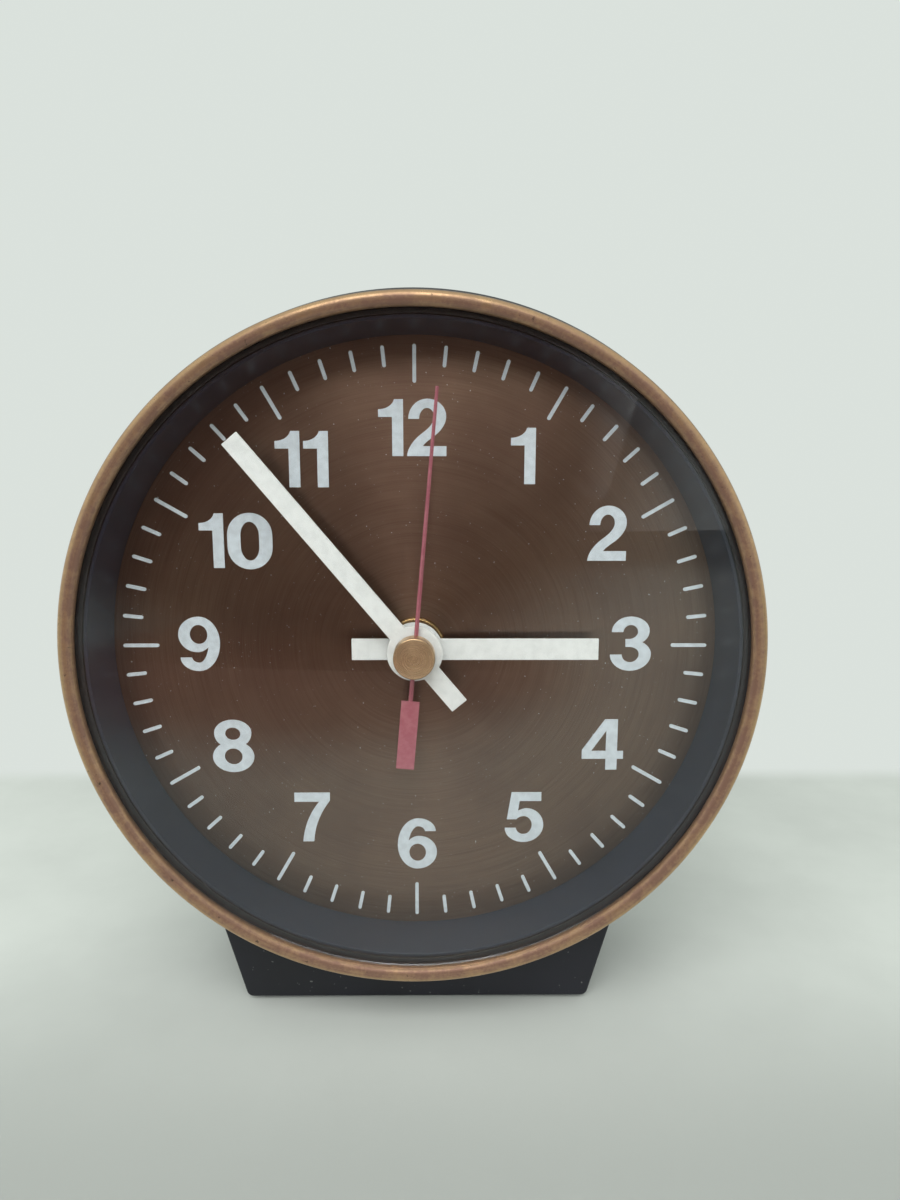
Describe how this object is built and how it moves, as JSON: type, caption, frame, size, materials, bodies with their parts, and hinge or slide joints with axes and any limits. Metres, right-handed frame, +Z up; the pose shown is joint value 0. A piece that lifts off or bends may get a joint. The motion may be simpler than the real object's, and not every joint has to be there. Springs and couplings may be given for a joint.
{
  "type": "alarm clock",
  "caption": "Round hand-wound alarm clock: black drum case, brass bezel, brown brushed dial, bar hands, and a short flared plinth.",
  "frame": {"origin": "on the table, under the middle of the clock's box", "axes": "the face looks along -Y, +X is to the right of someone reading it, +Z is up"},
  "size_m": [0.1128, 0.05, 0.1204],
  "materials": {
    "case_plastic": "satin black moulded plastic",
    "surround_plastic": "smooth black moulded plastic",
    "knob_plastic": "fluted black plastic",
    "bezel_brass": "aged brass with brown patina",
    "crystal_glass": "clear polished glass",
    "black_rubber": "matte rubber",
    "dial_metal": "brown anodised, brushed in circles",
    "bright_brass": "turned, brushed brass",
    "white_hand_paint": "matte off-white paint",
    "red_paint": "matte dusty red paint",
    "black_hand_paint": "matte black paint",
    "movement_brass": "rolled brass",
    "movement_steel": "turned steel",
    "spring_steel": "blued spring steel"
  },
  "bodies": {
    "case": {"case_shell": "case_plastic", "bezel_ring": "bezel_brass", "crystal": "crystal_glass", "crystal_gasket": "black_rubber", "dial_surround": "surround_plastic", "dial_plate": "dial_metal", "dial_eyelet": "bright_brass", "plinth": "case_plastic", "plinth_plate": "movement_steel", "base_pad": "black_rubber", "rear_cover": "case_plastic", "cover_screw_left": "movement_steel", "cover_screw_right": "movement_steel", "cover_screw_top": "movement_steel", "front_plate": "movement_brass", "rear_plate": "movement_brass", "pillar_a": "movement_brass", "pillar_b": "movement_brass", "pillar_c": "movement_brass", "pillar_d": "movement_brass", "minute_wheel_stud": "movement_steel", "balance_cock": "movement_brass", "gong": "movement_steel", "gong_post": "movement_brass"},
    "seconds": {"seconds_arbor": "movement_brass", "seconds_hand": "red_paint", "hand_cap": "bright_brass"},
    "third_wheel": {"third_wheel": "movement_brass"},
    "centre_wheel": {"centre_wheel": "movement_brass"},
    "time_barrel": {"time_barrel": "movement_brass", "time_mainspring": "spring_steel"},
    "escape_wheel": {"escape_wheel": "movement_brass"},
    "pallet_lever": {"pallet_lever": "movement_steel"},
    "balance": {"balance_wheel": "movement_brass", "hairspring": "spring_steel"},
    "regulator": {"regulator_lever": "movement_steel"},
    "minute": {"cannon_pinion": "movement_steel", "minute_hand": "white_hand_paint"},
    "minute_wheel": {"minute_wheel": "movement_brass"},
    "hour": {"hour_wheel": "movement_brass", "hour_hand": "white_hand_paint"},
    "time_setting": {"time_set_arbor": "movement_steel", "time_set_knob": "knob_plastic"},
    "alarm_pointer": {"alarm_wheel": "movement_brass", "alarm_hand": "black_hand_paint"},
    "alarm_setting": {"alarm_set_arbor": "movement_steel", "alarm_set_knob": "knob_plastic"},
    "time_winding": {"time_winding_arbor": "movement_steel", "time_ratchet_wheel": "movement_steel", "time_winding_key": "bright_brass"},
    "time_click": {"time_click": "movement_steel"},
    "alarm_winding": {"alarm_winding_arbor": "movement_steel", "alarm_ratchet_wheel": "movement_steel", "alarm_winding_key": "bright_brass"},
    "alarm_click": {"alarm_click": "movement_steel"},
    "alarm_barrel": {"alarm_barrel": "movement_brass", "alarm_mainspring": "spring_steel"},
    "alarm_escape": {"alarm_escape_wheel": "movement_brass"},
    "hammer": {"alarm_hammer": "movement_steel"},
    "stop_button": {"alarm_stop_button": "red_paint"}
  },
  "joints": [
    {"name": "seconds_turn", "type": "hinge", "parent": "case", "child": "seconds", "pos_m": [0, 0, 0.064], "axis": [0, 1, 0], "continuous": true},
    {"name": "third_wheel_turn", "type": "hinge", "parent": "case", "child": "third_wheel", "pos_m": [0.0085, 0, 0.07872], "axis": [0, 1, 0], "continuous": true},
    {"name": "centre_wheel_turn", "type": "hinge", "parent": "case", "child": "centre_wheel", "pos_m": [0, 0, 0.064], "axis": [0, 1, 0], "continuous": true},
    {"name": "time_barrel_turn", "type": "hinge", "parent": "case", "child": "time_barrel", "pos_m": [-0.01789, 0, 0.05749], "axis": [0, 1, 0], "continuous": true},
    {"name": "escape_wheel_turn", "type": "hinge", "parent": "case", "child": "escape_wheel", "pos_m": [0.00828, 0, 0.04966], "axis": [0, 1, 0], "continuous": true},
    {"name": "pallet_lever_rock", "type": "hinge", "parent": "case", "child": "pallet_lever", "pos_m": [0.01158, 0, 0.04394], "axis": [0, 1, 0], "range_deg": [-3, 3]},
    {"name": "balance_swing", "type": "hinge", "parent": "case", "child": "balance", "pos_m": [0.02155, 0, 0.03929], "axis": [0, 1, 0], "range_deg": [-150, 150], "stiffness_Nm_per_rad": 0.00001},
    {"name": "regulator_turn", "type": "hinge", "parent": "case", "child": "regulator", "pos_m": [0.02155, 0, 0.03929], "axis": [0, 1, 0], "range_deg": [-25, 25]},
    {"name": "minute_turn", "type": "hinge", "parent": "case", "child": "minute", "pos_m": [0, 0, 0.064], "axis": [0, 1, 0], "continuous": true},
    {"name": "minute_wheel_turn", "type": "hinge", "parent": "case", "child": "minute_wheel", "pos_m": [0, 0, 0.052], "axis": [0, 1, 0], "continuous": true},
    {"name": "hour_turn", "type": "hinge", "parent": "case", "child": "hour", "pos_m": [0, 0, 0.064], "axis": [0, 1, 0], "continuous": true},
    {"name": "time_set_turn", "type": "hinge", "parent": "case", "child": "time_setting", "pos_m": [0, 0, 0.04], "axis": [0, 1, 0], "continuous": true},
    {"name": "alarm_turn", "type": "hinge", "parent": "case", "child": "alarm_pointer", "pos_m": [0, 0, 0.064], "axis": [0, 1, 0], "continuous": true},
    {"name": "alarm_set_turn", "type": "hinge", "parent": "case", "child": "alarm_setting", "pos_m": [-0.01273, 0, 0.07673], "axis": [0, 1, 0], "continuous": true},
    {"name": "time_key_wind", "type": "hinge", "parent": "case", "child": "time_winding", "pos_m": [-0.01789, 0, 0.05749], "axis": [0, -1, 0], "range_deg": [0, 1440]},
    {"name": "time_click_lift", "type": "hinge", "parent": "case", "child": "time_click", "pos_m": [-0.01461, 0, 0.06651], "axis": [0, 1, 0], "range_deg": [0, 12]},
    {"name": "alarm_key_wind", "type": "hinge", "parent": "case", "child": "alarm_winding", "pos_m": [0.0266, 0, 0.058], "axis": [0, -1, 0], "range_deg": [0, 1080]},
    {"name": "alarm_click_lift", "type": "hinge", "parent": "case", "child": "alarm_click", "pos_m": [0.02809, 0, 0.06647], "axis": [0, 1, 0], "range_deg": [0, 12]},
    {"name": "alarm_barrel_turn", "type": "hinge", "parent": "case", "child": "alarm_barrel", "pos_m": [0.0266, 0, 0.058], "axis": [0, 1, 0], "continuous": true},
    {"name": "alarm_escape_turn", "type": "hinge", "parent": "case", "child": "alarm_escape", "pos_m": [0.03033, 0, 0.07191], "axis": [0, 1, 0], "continuous": true},
    {"name": "hammer_swing", "type": "hinge", "parent": "case", "child": "hammer", "pos_m": [0.02807, 0, 0.07811], "axis": [0, 1, 0], "range_deg": [-6, 3.5]},
    {"name": "stop_button_press", "type": "slide", "parent": "case", "child": "stop_button", "axis": [0, -1, 0], "range_m": [0, 0.003], "stiffness_N_per_m": 20}
  ],
  "couplings": [
    {"joint": "third_wheel_turn", "follows": "seconds_turn", "ratio": -0.125},
    {"joint": "centre_wheel_turn", "follows": "seconds_turn", "ratio": 0.016667},
    {"joint": "time_barrel_turn", "follows": "seconds_turn", "ratio": -0.0027778},
    {"joint": "escape_wheel_turn", "follows": "seconds_turn", "ratio": -8},
    {"joint": "minute_wheel_turn", "follows": "minute_turn", "ratio": -0.33333},
    {"joint": "hour_turn", "follows": "minute_turn", "ratio": 0.083333},
    {"joint": "time_set_turn", "follows": "minute_turn", "ratio": 1},
    {"joint": "alarm_set_turn", "follows": "alarm_turn", "ratio": -2},
    {"joint": "alarm_escape_turn", "follows": "alarm_barrel_turn", "ratio": -5}
  ]
}
